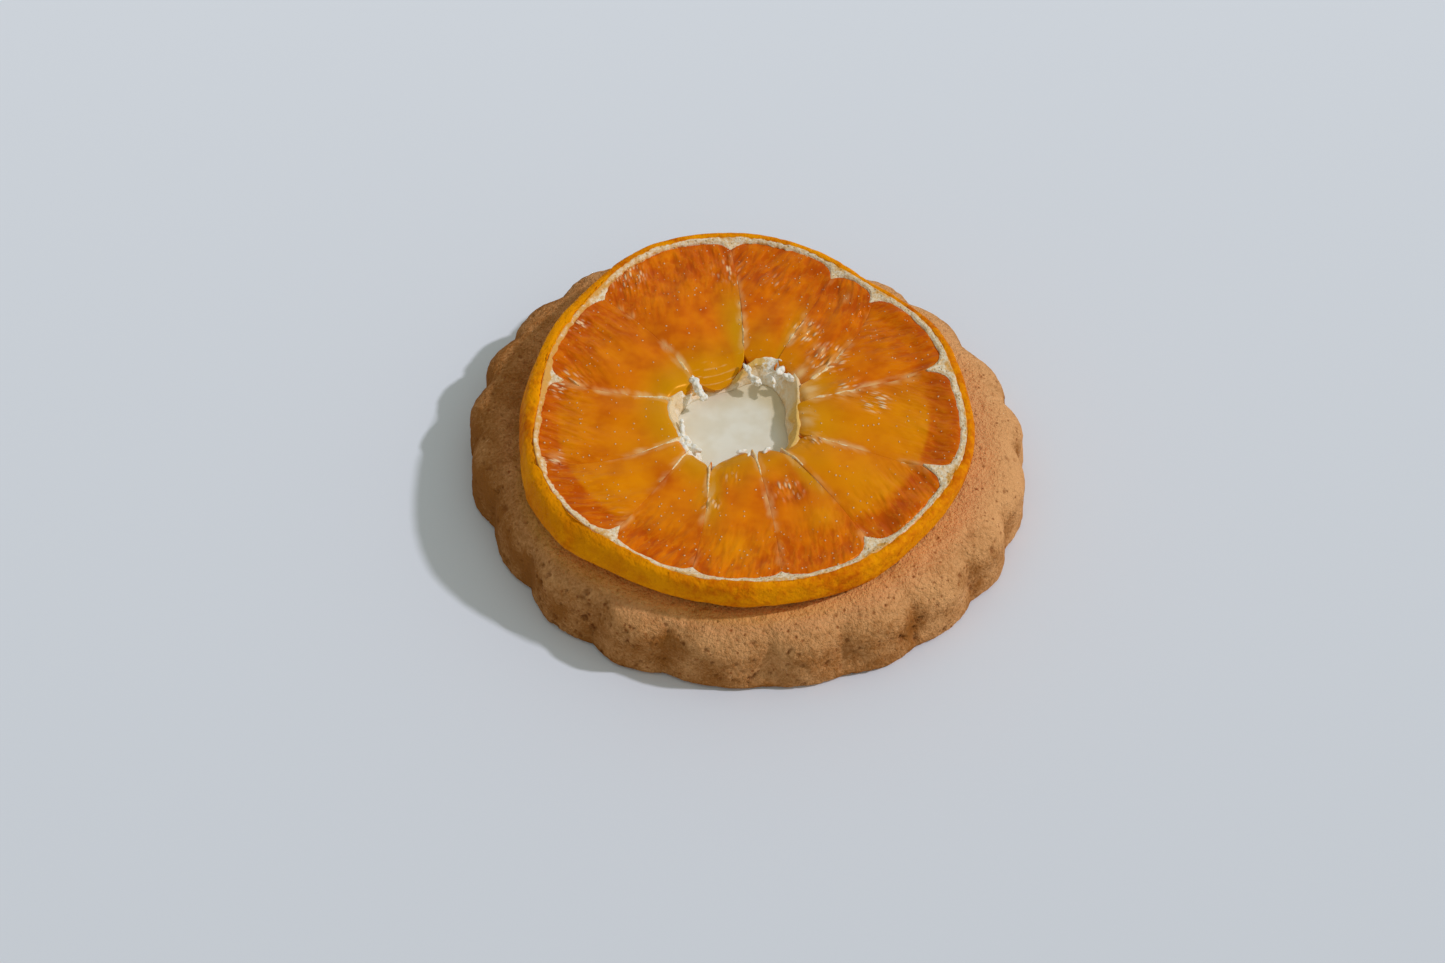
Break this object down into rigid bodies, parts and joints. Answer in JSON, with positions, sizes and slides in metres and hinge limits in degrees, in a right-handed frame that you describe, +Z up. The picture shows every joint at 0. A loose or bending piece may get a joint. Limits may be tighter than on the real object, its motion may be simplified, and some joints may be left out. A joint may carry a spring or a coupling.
{
  "type": "fruit cookie",
  "caption": "Thick fluted shortbread cookie topped with a round dab of white chocolate and a dried citrus slice with an open core.",
  "frame": {"origin": "centre of the cookie's flat base, on the surface it lies on", "axes": "+Z up through the cookie's thickness; -Y is the side towards the viewer of the picture, +X is to that viewer's right"},
  "size_m": [0.0648, 0.063, 0.0134],
  "materials": {
    "cookie_crust": "baked sandy crust, matte, with small pits and brown specks",
    "white_chocolate": "smooth cream white, faint sheen",
    "dried_citrus": "dried citrus: glossy amber flesh, pale rough pith, dull pored peel"
  },
  "bodies": {
    "root": {"cookie": "cookie_crust", "white_chocolate": "white_chocolate", "citrus_slice": "dried_citrus"}
  },
  "joints": []
}
